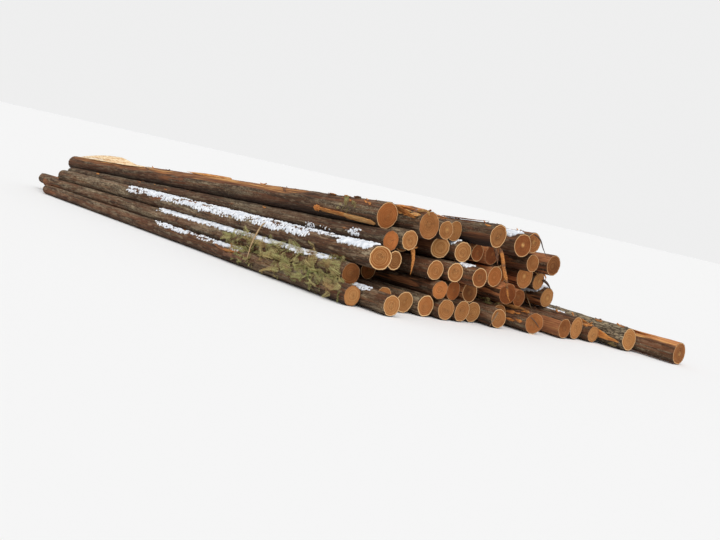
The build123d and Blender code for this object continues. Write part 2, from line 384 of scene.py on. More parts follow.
butt_shift, tip_shift = shift_onto(given.Butt_Face), shift_onto(given.Tip_Face)
travel = butt_shift + part_way * (1 + tip_shift - butt_shift)
spot = run.scaled(travel).vector("ADD", spread).vector("ADD", given.Butt_Centre)
across, _, up = spread.parts()
# Painted shade: the bark darkens towards the underside of each log, and more so on the logs in the wet table,
# which are also darker all over.
damp_and_low_shade = (0.1 - height).rising(0.0, 1.0) * (given.Wet * 1.5 + 0.3) + given.Wet
made = stored(sheet, "is_end", row_left.maths("LESS_THAN", CAP_RINGS), "BOOLEAN", "FACE")
made = stored(made, "lay", grain.xyz(across, along, up), "FLOAT_VECTOR")
looks = dict(
    edge=reach, bare=bared, fresh=scraped * given.Newness, knot=knob, own=given.Seed * 0.01,
    damp=damp_and_low_shade.clamped(), raw=given.Raw, grey=given.Grey, ruddy=given.Ruddy, pale=given.Pale,
    sap=given.Sap, pith=given.Pith, ringed=given.Ringed,
)
for label, value in looks.items():
    made = stored(made, label, value)
made = made.then("SetPosition", {"Position": spot})
made = made.then("MergeByDistance", {"Distance": 0.0002}).then("FlipFaces")
sharp = grain.step("InputMeshEdgeAngle").maths("GREATER_THAN", 0.9)
made = made.then("SetShadeSmooth", {"Selection": sharp, "Shade Smooth": False}, domain="EDGE")
is_end = grain.step("InputNamedAttribute", {"Name": "is_end"}, data_type="BOOLEAN")
end_tree(made, (given.Bark, None), (given.End, is_end))


def read_stem(node):
    """The axis, radii and sawn faces of a log, read off its frame node's three rings of corners."""
    sides = 36
    corners = np.array([v.co[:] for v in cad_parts[node].data.vertices])
    corners = np.unique(np.round(corners, 5), axis=0)
    corners = corners[np.argsort(corners[:, 1])]
    rings = corners[:sides], corners[sides:-sides], corners[-sides:]
    butt, swell, tip = centres = [ring.mean(0) for ring in rings]
    radii = [
        np.hypot(ring[:, 0] - c[0], ring[:, 2] - c[2]).mean() * math.cos(math.pi / sides)
        for ring, c in zip(rings, centres)
    ]
    return SimpleNamespace(
        butt=butt, tip=tip, run=tip - butt, length=np.linalg.norm(tip - butt), radii=radii,
        swell_at=np.linalg.norm(swell - butt),
        faces=[np.linalg.svd(ring - c)[2][2] for ring, c in ((rings[0], butt), (rings[2], tip))],
    )


# What shows on each log. The columns are the paleness of the heart, partly the wood's tone and partly
# painted light, as values above 1 brighten butts that lie in their neighbours' shade, the fluting and
# flattening of the butt in mm, the turn of its long side, the share of bark that is off, the greyness of the
# bark, the ruddiness of the heart, and the sapwood. None is left to chance.
COLUMNS = ("Pale", "Fluting", "Flattening", "Flat_Turn", "Bare", "Grey", "Ruddy", "Sap")
SEEN = {
    1: (1.0, 7, None, None, 0.2, 0.5, 0.15, 0.05), 2: (0.8, 7, None, None, 0.2, 0.5, 0.3, 0.10),
    9: (0.5, 5, None, None, 0.3, 0.4, 0.4, 0.09), 11: (0.5, 7, None, None, 0.4, 0.3, 0.6, 0.06),
    13: (0.25, 6, None, None, 0.5, 0.3, 0.6, 0.07), 14: (1.0, 4, 4, 85, 0.4, 0.3, 0.3, 0.08),
    15: (0.9, 8, 4, 85, 0.3, 0.4, 0.1, 0.06), 16: (1.0, 26, 24, 100, 0.15, 1.5, 0.05, 0.10),
    17: (0.3, 5, 4, 90, 0.65, 0.3, 0.5, 0.08), 18: (0.22, 6, 7, 100, 0.25, 0.5, 0.55, 0.06),
    22: (0.95, 6, 4, 90, 0.5, 0.3, 0.7, 0.06), 23: (0.4, 5, 5, 85, 0.7, 0.1, 1.0, 0.06),
    24: (0.05, 7, 4, 80, 0.75, 0.1, 0.4, 0.09), 26: (0.1, 26, 16, 80, 0.75, 0.1, 1.0, 0.05),
    27: (0.15, 5, 4, 90, 0.75, 0.1, 0.7, 0.06), 30: (1.4, 5, 4, 85, 0.7, 0.1, 0.05, 0.07),
    31: (0.65, 4, 0, None, 0.15, 0.6, 0.35, 0.11), 32: (0.25, 4, 4, 80, 0.2, 0.5, 0.3, 0.13),
    34: (0.62, 9, 4, 110, 0.5, 0.3, 0.45, 0.10), 35: (0.65, 5, None, None, 0.6, 0.2, 0.4, 0.12),
    36: (0.3, 6, 3, 90, 0.7, 0.1, 0.65, 0.10), 38: (0.8, 5, None, None, 0.75, 0.1, 0.75, 0.09),
    40: (1.0, 4, 6, 88, 0.75, 0.1, 0.55, 0.08), 41: (1.3, 9, 4, 60, 0.6, 0.2, 0.35, 0.07),
    42: (0.75, 11, 12, 75, 0.1, 0.55, 0.8, 0.05), 43: (0.75, 6, 3, 60, 0.1, 0.85, 0.3, 0.10),
    45: (1.3, 4, None, None, 0.35, 0.4, 0.2, 0.12), 46: (0.9, 4, None, None, 0.4, 0.4, 0.3, 0.12),
    47: (0.22, 6, 6, 80, 0.75, 0.1, 1.0, 0.09), 48: (0.0, 4, None, None, 0.8, 0.1, 0.9, 0.06),
    50: (0.3, 5, 6, 85, 0.6, 0.2, 0.5, 0.08), 51: (0.05, 5, 4, 85, 0.6, 0.2, 0.45, 0.07),
    52: (0.57, 4, 9, 88, 0.24, 0.35, 0.75, 0.08), 53: (0.48, 4, 5, 95, 0.3, 0.5, 0.45, 0.06),
    54: (0.47, 5, 4, 90, 0.3, 0.6, 0.35, 0.08), 55: (0.58, 5, 6, 90, 0.2, 0.6, 0.35, 0.08),
    56: (0.4, 7, 8, 70, 0.35, 0.45, 0.3, 0.09), 57: (0.25, 4, None, None, 0.3, 0.4, 0.8, 0.08),
    58: (0.4, 5, None, None, 0.3, 0.4, 0.5, 0.08),
}
# Scrapes: how strong, the turn of the middle, and where along the log they run from and to.
SCRAPES = {52: (1.2, 122, 1.6, 10.6), 56: (0.9, 95, -0.3, 9.0), 17: (0.8, 120, -1.2, 3.4)}
LIGHT_PITH = {40: 1.0, 57: 0.9, 41: 0.7, 30: 0.6, 58: 0.5, 54: 0.5, 17: 0.4}
RINGED = {
    31: 1.0, 45: 0.6, 46: 0.6, 14: 0.7, 36: 0.9, 38: 0.8, 56: 0.9,
    51: 1.0, 58: 0.8, 16: 0.5, 30: 0.6, 43: 0.8, 53: 0.5, 32: 0.8,
}
NEWNESS = {52: 0.7, 56: 0.25, 17: 0.8}
# How much darker each log is all over, and how much deeper the painted shade on its underside.
WET_AND_SHADE = {42: 0.36, 52: 0.2, 56: 0.32, 53: 0.1, 54: 0.1, 31: 0.0, 16: 0.0}
# Logs in the nooks of the pile whose inner bark is painted brighter, for the light that snow on the ground
# throws in between them, and how much.
NOOK_LIGHT = dict.fromkeys((17, 23, 24, 26, 27, 30, 36, 37, 38, 39, 40, 47, 48), 1.0)
NOOK_LIGHT.update(dict.fromkeys((13, 22, 35, 41, 50, 51), 0.4))
HIDDEN = {3, 4, 5, 6, 7, 8, 10, 12, 19, 20, 21, 25, 28, 29, 33, 37, 39, 44, 49}
chance = random.Random(33)
stems = {}
for node in sorted(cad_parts):
    number = int(node[4:])
    stem = stems[number] = read_stem(node)
    look = dict(
        Pale=0.6, Fluting=5, Grey=chance.uniform(0.2, 0.7), Ruddy=chance.uniform(0.2, 0.9),
        Bare=chance.uniform(0.15, 0.45), Flattening=chance.uniform(0, 7), Flat_Turn=chance.uniform(0, 180),
        Sap=chance.uniform(0.06, 0.12),
    )
    look.update((label, value) for label, value in zip(COLUMNS, SEEN.get(number, ())) if value is not None)
    look["Fluting"] /= 1000
    look["Flattening"] /= 1000
    look["Flat_Turn"] = math.radians(look["Flat_Turn"])
    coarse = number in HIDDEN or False
    strength, scrape_turn, scrape_from, scrape_to = SCRAPES.get(number, (0, 0, 0, 0))
    log = grown(
        "stem_" + node[4:], stem_tree, Butt_Centre=stem.butt, Tip_Centre=stem.tip,
        Butt_Face=stem.faces[0], Tip_Face=stem.faces[1],
        Butt_Radius=stem.radii[0], Swell_Radius=stem.radii[1], Tip_Radius=stem.radii[2],
        Swell_At=stem.swell_at, Around=30 if coarse else 48, Along=64 if coarse else 134,
        Seed=(number - 1) * 3.7 + 1.0, Ridges=RIDGE_DEPTH, Scrape=strength,
        Scrape_Turn=math.radians(scrape_turn), Scrape_From=scrape_from, Scrape_To=scrape_to,
        Newness=NEWNESS.get(number, 0.4), Raw=NOOK_LIGHT.get(number, 0.0),
        Wet=WET_AND_SHADE.get(number, 0.0 if number in NOOK_LIGHT else 0.05),
        Pith=LIGHT_PITH.get(number, 0.1), Ringed=RINGED.get(number, 0.35), Bark=log_bark, End=sawn_end,
        **look,
    )
    stem.log = log
    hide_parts(node)
    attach(log, "root")


# Snow on the logs
# Old snow that has settled in the nooks along the left flank and in patches on top of single
# logs. It is wet and grainy, a few centimetres thick, and its edges have melted ragged.
snow, grain, coat = new_finish("snow")
spot = grain.spot()
grains = spot.stretched(95.0, 95.0).mottle(1.0, 3.0)
clumps = spot.stretched(14.0, 14.0).mottle(4.0, 2.0)
white = clumps.rising(0.35, 0.65).tint((206, 211, 219), (240, 242, 246))
white = (grains.rising(0.60, 0.75) * 0.25).tint(white, (176, 184, 196))
coat(Base_Color=white, Roughness=0.6, Normal=grains.bumped(0.004, 0.7))


def band_on_log(given):
    """A log's mesh, and on its bark: the place, metres from the butt, and the share of the band's spread."""
    bed = given.Log.then("ObjectInfo", out="Geometry")
    lay = bed.step("InputNamedAttribute", {"Name": "lay"}, data_type="FLOAT_VECTOR")
    across, along, up = lay.parts()
    off_turn = (up.maths("ARCTAN2", across) - given.Turn).maths("WRAP", math.pi, -math.pi)
    return bed, lay, along, abs(off_turn) / given.Spread


FLAKES_PER_M2, VOLUME_STEP, CRUST_STEP = 5200.0, 0.006, 0.0105
snow_tree, grain, given = new_tree(
    "snow_bed", Object="Log", Float="From To Turn Spread Cover Depth", Int="Seed", Material="Finish"
)
bed, lay, along, off_middle = band_on_log(given)
drift = lay.stretched(9.0, 3.2).mottle(given.Seed, 4.0, 0.65) - 0.5
hole = lay.stretched(30.0, 19.0).mottle(given.Seed + 9.0, 3.0, 0.6) - 0.5
melt = drift * 1.5 + hole * 1.4 + given.Cover
in_band = 1 - off_middle.rising(0.55, 1.0)
in_run = (along - given.From).rising(0.0, 0.2) * (1 - (along - given.To).rising(-0.2, 0.0))
lying = (melt + in_band * in_run * 0.5 - 0.5).rising(0.42, 0.52)
lying = lying * in_band.rising(0.0, 0.2) * in_run.rising(0.0, 0.2)
flakes = {"Density": lying * FLAKES_PER_M2, "Seed": given.Seed}
flakes = bed.then("DistributePointsOnFaces", flakes, out="Points")
lump = grain.step("FunctionNodeRandomValue", {2: 0.3, 3: 1.25, "Seed": given.Seed}, out=1) * given.Depth
crust = flakes.then(
    "PointsToVolume", {"Voxel Size": VOLUME_STEP, "Radius": lump}, resolution_mode="VOXEL_SIZE"
)
crust = crust.then(
    "VolumeToMesh", {"Voxel Size": CRUST_STEP, "Threshold": 0.1, "Adaptivity": 0.4},
    resolution_mode="VOXEL_SIZE",
)
end_tree(crust.then("SetShadeSmooth"), (given.Finish, None))

# Each bed: log, from and to in metres from the butt, turn and spread in degrees, cover, depth.
SNOW = [
    (31, 1.4, 7.2, 130, 52, 0.50, 0.014), (31, 0.04, 0.8, 118, 34, 0.92, 0.018),
    (31, 0.7, 1.7, 108, 24, 0.58, 0.013), (42, 0.4, 0.90, 172, 32, 0.60, 0.012),
    (42, 1.1, 2.0, 188, 22, 0.46, 0.012), (18, 0.3, 5.4, 112, 34, 0.58, 0.016),
    (1, 2.6, 5.6, 118, 38, 0.46, 0.014), (30, 0.04, 0.6, 116, 46, 0.92, 0.021),
    (36, 0.04, 0.55, 108, 34, 0.66, 0.015), (57, 0.04, 0.55, 104, 42, 0.84, 0.029),
    (46, 0.04, 0.5, 116, 36, 0.90, 0.017), (2, 0.3, 1.2, 118, 34, 0.50, 0.014),
    (14, 0.2, 1.5, 70, 34, 0.56, 0.015), (22, 0.05, 0.5, 100, 30, 0.52, 0.013),
]
for number, (log, start, stop, turned, spread, cover, depth) in enumerate(SNOW):
    bed = grown(
        f"snow_{number:02d}", snow_tree, Log=stems[log].log, From=start, To=stop,
        Turn=math.radians(turned), Spread=math.radians(spread), Cover=cover, Depth=depth, Seed=number + 3,
        Finish=snow,
    )
    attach(bed, "root")


# Cedar sprays
# Flat, fern-like sprays of cedar, yellow-green and going brown, left over from limbing. They
# cover the flank of the lowest full log, and single ones are caught between the butts.
cedar, grain, coat = new_finish("cedar_foliage")
own, rib = attributes(grain, "own rib")
spot = grain.spot()
fade = spot.stretched(3.0, 3.0).mottle(2.0, 3.0)
leaf = own.tint((138, 149, 80), (212, 200, 134))
leaf = fade.rising(0.48, 0.68).tint(leaf, (190, 156, 98))
leaf = rib.rising(0.2, 0.9).tint(leaf, (124, 88, 54))
leaf = (spot.stretched(160.0, 160.0).mottle(3.0, 2.0).rising(0.40, 0.62) * 0.35).tint(leaf, (84, 84, 46))
scales = spot.stretched(420.0, 420.0).mottle(5.0, 1.0)
coat(Base_Color=leaf, Roughness=0.7, Normal=scales.bumped(0.002, 0.6))


def spray_mesh(name, length, pairs, droop):
    """One flat spray: a thin rib with paired side sprays that shorten to the tip."""
    corners, faces, ribs = [], [], []

    def blade(root, heading, reach, width, bend):
        side = Vector((-heading.y, heading.x, 0)) * width
        base = len(corners)
        for part, half in ((0.0, 0.35), (0.45, 1.0), (1.0, 0.12)):
            middle = root + heading * reach * part - Vector((0, 0, bend * part * part))
            corners.extend((middle - side * half, middle + side * half))
        faces.extend(((base, base + 1, base + 3, base + 2), (base + 2, base + 3, base + 5, base + 4)))
        ribs.extend([1.0 if width < 0.004 else 0.0] * 6)

    blade(Vector((0, 0, 0)), Vector((1, 0, 0)), length, 0.0022, droop)
    for pair in range(pairs):
        part = (pair + 0.7) / (pairs + 0.4)
        for hand in (-1, 1):
            heading = Vector((0.62, hand * 0.78, 0)).normalized()
            root = Vector((length * part, 0, -droop * part * part))
            reach = length * 0.46 * (1 - part * 0.72)
            blade(root, heading, reach, reach * 0.022 + 0.001, droop * 0.3)
            for share, spread in ((0.2, 0.2), (0.42, 2.2), (0.55, 0.2), (0.75, 2.0)):
                twig = root + heading * reach * share - Vector((0, 0, droop * 0.3 * share * share))
                way = Vector((1, hand * spread, 0.2)).normalized()
                blade(twig, way, reach * (0.56 - share * 0.42), 0.0041, droop * 0.4)
    mesh = bpy.data.meshes.new(name)
    mesh.from_pydata([tuple(c) for c in corners], [], faces)
    mesh.attributes.new("rib", "FLOAT", "POINT").data.foreach_set("value", ribs)
    return bpy.data.objects.new(name, mesh)


litter_tree, grain, given = new_tree(
    "litter", Object="Log Item", Float="From To Turn Spread Thickly Least Most Lift Tip Along_Grain",
    Int="Seed", Material="Finish",
)


def random_way(seed_step):
    """A vector for each point, with parts from -1 to 1."""
    values = {0: (-1.0, -1.0, -1.0), 1: (1.0, 1.0, 1.0), "Seed": given.Seed + seed_step}
    return grain.step("FunctionNodeRandomValue", values, data_type="FLOAT_VECTOR")


def random_number(low, high, seed_step):
    return grain.step("FunctionNodeRandomValue", {2: low, 3: high, "Seed": given.Seed + seed_step}, out=1)


bed, _, along, off_middle = band_on_log(given)
in_band = 1 - off_middle.rising(0.6, 1.0)
in_run = along.maths("GREATER_THAN", given.From) * along.maths("LESS_THAN", given.To)
density = in_band * in_run * given.Thickly
scatter = {"Density": density, "Seed": given.Seed}
scatter = bed.then("DistributePointsOnFaces", scatter, out="Points")
surface = scatter.other("Normal")
upright = surface.vector("ADD", random_way(7).scaled(given.Tip))
facing = grain.step("FunctionNodeAlignRotationToVector", {"Vector": upright}, axis="Z")
heading = grain.xyz(0.0, 1.0).vector("ADD", random_way(3).scaled(1 - given.Along_Grain))
facing = facing.then("FunctionNodeAlignRotationToVector", {"Vector": heading}, axis="X", pivot_axis="Z")
item = given.Item.then("ObjectInfo", out="Geometry")
scale = random_number(given.Least, given.Most, 1)
strewn = scatter.then("InstanceOnPoints", {"Instance": item, "Rotation": facing, "Scale": scale})
rise = surface.scaled(given.Lift)
strewn = strewn.then("TranslateInstances", {"Translation": rise, "Local Space": False})
strewn = stored(strewn, "own", random_number(0.0, 1.0, 5), domain="INSTANCE")
strewn = strewn.then("RealizeInstances")
low = grain.step("InputPosition").parts()[2].maths("LESS_THAN", 0.003)
strewn = strewn.then("DeleteGeometry", {"Selection": low})
end_tree(strewn, (given.Finish, None))


def strew(name, slot, log, start, stop, turned, spread, thickly, sizes, **values):
    """Many copies of one small thing, scattered over a band along a log."""
    made = grown(
        name, litter_tree, Log=stems[log].log, From=start, To=stop, Turn=math.radians(turned),
        Spread=math.radians(spread), Thickly=thickly, Least=sizes[0], Most=sizes[1], **values,
    )
    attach(made, "root")


# Each drift: log, from and to in metres from the butt, turn and spread in degrees, sprays a m2.
SPRAYS = [
    (18, 0.0, 2.9, 170, 70, 330), (1, 0.1, 2.9, 135, 70, 270), (52, 0.46, 0.84, 166, 26, 300),
    (16, 0.0, 0.30, 225, 30, 120), (10, 0.05, 0.6, 100, 50, 120), (31, 1.2, 1.6, 205, 14, 40),
]
spray = spray_mesh("cedar_spray", 0.22, 8, 0.07)
for number, row in enumerate(SPRAYS):
    strew(f"cedar_sprays_{number}", "cedar_foliage", *row, (0.3, 1.0), Item=spray, Lift=0.012, Tip=0.9,
          Along_Grain=0.25, Seed=number + 21, Finish=cedar)


# Loose bark
# Bark that tore off in strips when the logs were skidded and piled: curled scales along the
# tops, long ribbons that hang between the butts, and a few broken limbs and twigs among them.
torn_bark, grain, coat = new_finish("torn_bark")
[own] = attributes(grain, "own")
spot = grain.spot()
thread = spot.stretched(70.0, 7.0).mottle(2.0, 5.0, 0.65)
cloudy = spot.stretched(9.0, 3.0).mottle(6.0, 3.0)
threads = thread.rising(0.35, 0.65)
shown = (own + (cloudy - 0.5) * 1.1).rising(0.42, 0.62)
shown = shown.tint(threads.tint((64, 40, 28), (132, 90, 60)), threads.tint((150, 80, 34), (214, 146, 72)))
# The pale wood side of the bark, which on the freshest strips also stands in as painted highlight.
wood_side_and_highlight = threads.tint((166, 118, 66), (214, 172, 112))
shown = (own + (cloudy - 0.5) * 0.8).rising(1.0, 1.25).tint(shown, wood_side_and_highlight)
coat(Base_Color=shown, Roughness=0.85, Normal=thread.bumped(0.006, 0.8))


def scale_mesh(name, length, width, thickness, curl):
    """A curled scale of bark as a thin closed shell."""
    corners, faces = [], []
    steps, lanes = 4, 3
    for layer in (0, 1):
        for i in range(steps + 1):
            part = i / steps
            half = width / 2 * (1.0, 0.9, 1.05, 0.7, 0.3)[i]
            for j in range(lanes):
                across = (j / (lanes - 1) - 0.5) * 2
                bow = curl * (part - 0.3) ** 2 - 0.25 * width * across * across + layer * thickness
                corners.append((length * (part - 0.5), half * across, bow))
    row = (steps + 1) * lanes
    for i in range(steps):
        for j in range(lanes - 1):
            a = i * lanes + j
            faces.append((a, a + lanes, a + lanes + 1, a + 1))
            faces.append((row + a, row + a + 1, row + a + lanes + 1, row + a + lanes))
    rim = [i * lanes for i in range(steps + 1)] + [steps * lanes + 1]
    rim += [i * lanes + 2 for i in range(steps, -1, -1)] + [1]
    for a, b in zip(rim, rim[1:] + rim[:1]):
        faces.append((b, a, row + a, row + b))
    mesh = bpy.data.meshes.new(name)
    mesh.from_pydata(corners, [], faces)
    return bpy.data.objects.new(name, mesh)


# The same columns as for the sprays, and after them the least and most size, and the tipping.
SCALES = [
    (52, 0.2, 1.6, 118, 30, 60, (0.4, 1.0), 0.3), (52, 2.0, 9.8, 100, 40, 9, (0.5, 1.3), 0.25),
    (53, 0.1, 2.0, 95, 45, 34, (0.5, 1.4), 0.45), (54, 0.1, 2.0, 95, 45, 26, (0.5, 1.3), 0.4),
    (55, 0.1, 2.5, 95, 45, 26, (0.5, 1.3), 0.4), (56, 0.1, 3.0, 95, 45, 26, (0.5, 1.3), 0.35),
    (57, 0.1, 2.5, 90, 45, 24, (0.5, 1.3), 0.4), (58, 0.1, 2.5, 90, 45, 24, (0.5, 1.3), 0.4),
    (51, 0.1, 2.5, 90, 45, 24, (0.5, 1.3), 0.4), (14, 0.1, 2.5, 95, 55, 34, (0.5, 1.5), 0.45),
    (15, 0.1, 2.5, 95, 55, 34, (0.5, 1.5), 0.45), (16, 0.1, 4.0, 95, 50, 18, (0.5, 1.4), 0.35),
    (17, 0.1, 4.0, 95, 50, 12, (0.5, 1.4), 0.35), (11, 0.1, 1.5, 115, 60, 60, (0.6, 1.8), 0.6),
    (42, 0.6, 9.0, 130, 40, 5, (0.5, 1.2), 0.3), (1, 2.0, 4.5, 120, 60, 22, (0.5, 1.4), 0.35),
]
bark_scale = scale_mesh("bark_scale", 0.11, 0.035, 0.004, 0.05)
for number, (*row, tip) in enumerate(SCALES):
    strew(f"bark_scales_{number:02d}", "inner_bark", *row, Item=bark_scale, Lift=0.004, Tip=tip,
          Along_Grain=0.75, Seed=number + 51, Finish=torn_bark)

# A strip grows along a path, thin at both ends. One mesh can hold several paths, each with a
# width, tilt and freshness of its own.
shred_tree, grain, given = new_tree(
    "shred", Float="Width Thickness Ragged Lead Blunt Twist Turned Fresh Seed", Vector="Face", Int="Rings",
    Material="Finish",
)
line = given.Geometry.then("MeshToCurve")
line = line.then("CurveSplineType", spline_type="CATMULL_ROM")
line = line.then("SetSplineResolution", {"Resolution": 12})
line = line.then("ResampleCurve", {"Count": given.Rings})
part = grain.step("SplineParameter")
which = grain.step("CurveOfPoint") * 1.0
torn = grain.xyz(part * 9.0, which * 5.0).mottle(given.Seed, 3.0) - 0.5
thin = (part / given.Lead).clamped() * ((1 - part) / (1.02 - given.Blunt)).clamped() ** 0.7
thin = thin * (1 + torn * given.Ragged * 3) * (1 + (which * 3.1).maths("SINE") * 0.35)
thin = (thin * 1.25).maths("MAXIMUM", 0.05)
broad = grain.step("InputTangent").vector("CROSS_PRODUCT", given.Face)
line = line.then("SetCurveNormal", {"Normal": broad}, mode="FREE")
tilt = given.Turned + part * given.Twist + torn * given.Ragged + (which * 1.7).maths("SINE") * 0.5
line = line.then("SetCurveTilt", {"Tilt": tilt})
line = stored(line, "own", given.Fresh + (which * 2.4).maths("SINE") * 0.35)
band = grain.step("CurvePrimitiveCircle", {"Resolution": 8, "Radius": 0.5})
size = grain.xyz(given.Width, given.Thickness, 1.0)
band = band.then("Transform", {"Scale": size})
made = line.then("CurveToMesh", {"Profile Curve": band, "Scale": thin, "Fill Caps": True})
end_tree(made.then("SetShadeSmooth"), (given.Finish, None))


def on_log(log, along, turned, lift=0.0):
    """A place on a log: metres from its butt, and degrees round it from the right-hand side over the top."""
    stem = stems[log]
    butt_r, swell_r, tip_r = stem.radii
    if along < stem.swell_at:
        radius = butt_r + (swell_r - butt_r) * along / stem.swell_at
    else:
        radius = swell_r + (tip_r - swell_r) * (along - stem.swell_at) / (stem.length - stem.swell_at)
    angle = math.radians(turned)
    outward = Vector((math.cos(angle), 0, math.sin(angle)))
    return Vector(stem.butt + stem.run * (along / stem.length)) + outward * (radius + lift)


def along_log(log, *stations):
    """A path on a log's bark, from stations of metres from the butt, degrees round it and metres off it."""
    return [on_log(log, *station) for station in stations]


def shred(name, points, width, thickness, finish=torn_bark, slot="inner_bark", turned=0.0, each=0, **values):
    """A strip along a path, or one along each so many points. Its broad side looks the way of Face, and is
    turned about the path by turned."""
    each = each or len(points)
    start = bpy.data.meshes.new(name)
    edges = [(i, i + 1) for i in range(len(points) - 1) if (i + 1) % each]
    start.from_pydata([tuple(p) for p in points], edges, [])
    shape = dict(Lead=0.06, Blunt=0.3, Twist=0.0, Face=(0.0, 0.0, 1.0), Fresh=0.7)
    shape.update(values)
    made = grown(name, shred_tree, start, Width=width, Thickness=thickness, Turned=math.radians(turned),
                 Finish=finish, **shape)
    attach(made, "root")


# Ribbons that are still held at one end, and slabs and chips that lie on the top logs. Each
# has its log with stations along it, or None with points in metres, and then its width,
# thickness, turn about the path, raggedness, bluntness and freshness. From a freshness of about 1 up the
# pale wood side shows, which partly stands in as painted highlight.
STRIPS = {
    "shred_under_log_52": (52, ((1.35, 203, 0.004), (1.05, 207, 0.006), (0.75, 211, 0.006), (0.5, 214, 0.01)),
        0.08, 0.010, -38, 0.4, 0.9, 1.0),
    "strip_under_log_52": (
        52, ((0.78, 214, 0.004), (0.5, 218, 0.006), (0.25, 220, 0.008), (0.03, 222, 0.014)),
        0.10, 0.012, -38, 0.25, 0.9, 1.15),
    "strip_between_52_and_53": (53, ((1.0, 150, 0.01), (0.6, 140, 0.02), (0.3, 150, 0.03), (0.05, 165, 0.05)),
        0.12, 0.014, -55, 0.6, 0.6, 0.95),
    "strip_log_53_upper": (53, ((1.5, 112, 0.01), (0.9, 118, 0.02), (0.45, 124, 0.03), (0.12, 134, 0.05)),
        0.09, 0.012, -30, 0.5, 0.4, 0.75),
    "over_face_of_log_53": (
        53, ((0.16, 130, 0.01), (0.04, 126, 0.03), (-0.025, 122, 0.02), (-0.025, 118, -0.05)),
        0.05, 0.007, -36, 0.6, 0.5, 1.3),
    "hanging_under_log_43": (
        None, ((-1.71, -4.62, 0.97), (-1.71, -4.66, 0.92), (-1.695, -4.70, 0.80), (-1.70, -4.72, 0.66),
         (-1.70, -4.72, 0.56)), 0.052, 0.007, 0, 0.4, 0.1, 0.85),
    "flap_under_log_43": (
        None, ((-1.77, -4.50, 0.91), (-1.71, -4.56, 0.93), (-1.65, -4.62, 0.945), (-1.60, -4.64, 0.965)),
        0.08, 0.010, 60, 0.9, 0.1, 0.62),
    "hanging_under_log_56": (
        None, ((-0.26, -4.95, 1.20), (-0.20, -4.99, 1.08), (-0.10, -5.00, 0.88), (0.02, -5.00, 0.70),
         (0.12, -5.00, 0.50), (0.20, -5.02, 0.40)), 0.045, 0.008, 0, 0.35, 0.5, 0.6),
    "hanging_dark": (
        None, ((-0.31, -4.90, 1.19), (-0.27, -4.93, 1.10), (-0.24, -4.94, 1.02), (-0.21, -4.95, 0.93)),
        0.04, 0.008, 0, 0.3, 0.5, 0.1),
    "flap_on_log_41": (
        None, ((1.10, -4.45, 0.906), (1.10, -4.56, 0.912), (1.10, -4.640, 0.885), (1.10, -4.645, 0.84)),
        0.045, 0.008, 60, 0.6, 0.5, 1.2),
    "flap_on_log_41_right": (
        None, ((1.26, -4.45, 0.895), (1.28, -4.60, 0.89), (1.31, -4.645, 0.85), (1.315, -4.645, 0.79)),
        0.035, 0.008, 60, 0.6, 0.5, 0.95),
    "strip_past_log_16": (
        16, ((0.95, 150, 0.03), (0.7, 165, 0.02), (0.42, 182, 0.012), (0.2, 196, 0.010), (0.03, 204, 0.012)),
        0.06, 0.011, -80, 0.25, 0.6, 1.0),
    "strip_under_log_16": (16, ((1.2, 190, 0.004), (0.8, 194, 0.006), (0.4, 196, 0.008), (0.04, 198, 0.01)),
        0.07, 0.010, -68, 0.3, 0.8, 1.0),
    "torn_log_11_a": (11, ((0.7, 128, 0.01), (0.4, 124, 0.02), (0.2, 122, 0.03), (0.04, 130, 0.03)),
        0.12, 0.012, -34, 0.5, 0.5, 1.1),
    "torn_log_11_c": (11, ((0.9, 112, 0.005), (0.6, 118, 0.02), (0.3, 112, 0.03), (0.06, 118, 0.04)),
        0.08, 0.010, -20, 0.5, 0.5, 0.9),
    "strip_left_of_log_17": (17, ((2.2, 120, 0.005), (1.5, 126, 0.006), (0.9, 122, 0.006), (0.35, 128, 0.02)),
        0.08, 0.010, -34, 0.35, 0.5, 0.9),
    "strip_on_log_41": (41, ((0.5, 110, 0.01), (0.25, 125, 0.02), (0.05, 150, 0.04), (0.0, 190, 0.06)),
        0.06, 0.012, -40, 0.5, 0.4, 1.0),
    "slab_on_log_54": (54, ((1.3, 100, 0.02), (0.9, 96, 0.03), (0.5, 88, 0.035), (0.1, 96, 0.04)),
        0.15, 0.018, 5, 0.3, 0.8, 0.3),
    "slab_on_log_53": (53, ((1.5, 78, 0.01), (1.0, 72, 0.02), (0.6, 68, 0.03), (0.25, 60, 0.05)),
        0.14, 0.018, 20, 0.3, 0.7, 0.55),
    "slab_on_log_55": (55, ((1.1, 98, 0.005), (0.8, 92, 0.03), (0.5, 86, 0.035), (0.2, 78, 0.01)),
        0.10, 0.014, 8, 0.5, 0.4, 0.8),
    "sliver_short": (52, ((4.0, 104, 0.004), (4.6, 102, 0.012), (5.5, 100, 0.016)),
        0.05, 0.012, -45, 0.5, 0.6, 1.1),
    "chip_on_log_52_a": (52, ((1.3, 108, 0.002), (1.2, 112, 0.010), (1.12, 114, 0.014)),
        0.05, 0.007, -25, 0.8, 0.7, 0.5),
    "chip_on_log_52_b": (52, ((0.74, 106, 0.002), (0.66, 104, 0.012), (0.6, 102, 0.018)),
        0.05, 0.007, -25, 0.8, 0.7, 0.5),
    "chip_on_log_52_c": (52, ((0.95, 110, 0.002), (0.86, 113, 0.012), (0.78, 116, 0.012)),
        0.05, 0.010, -30, 0.5, 0.6, 1.1),
    "strip_on_log_56": (56, ((1.2, 104, 0.004), (0.8, 100, 0.006), (0.45, 104, 0.01), (0.2, 98, 0.02)),
        0.06, 0.008, -10, 0.4, 0.5, 0.9),
    "bark_by_log_01": (1, ((3.4, 150, 0.01), (3.0, 160, 0.02), (2.6, 150, 0.03)),
        0.06, 0.010, -60, 0.9, 0.3, 0.5),
    "bark_by_log_01_low": (1, ((3.1, 190, 0.01), (2.7, 180, 0.03), (2.3, 190, 0.02)),
        0.05, 0.010, -80, 0.9, 0.3, 0.35),
}
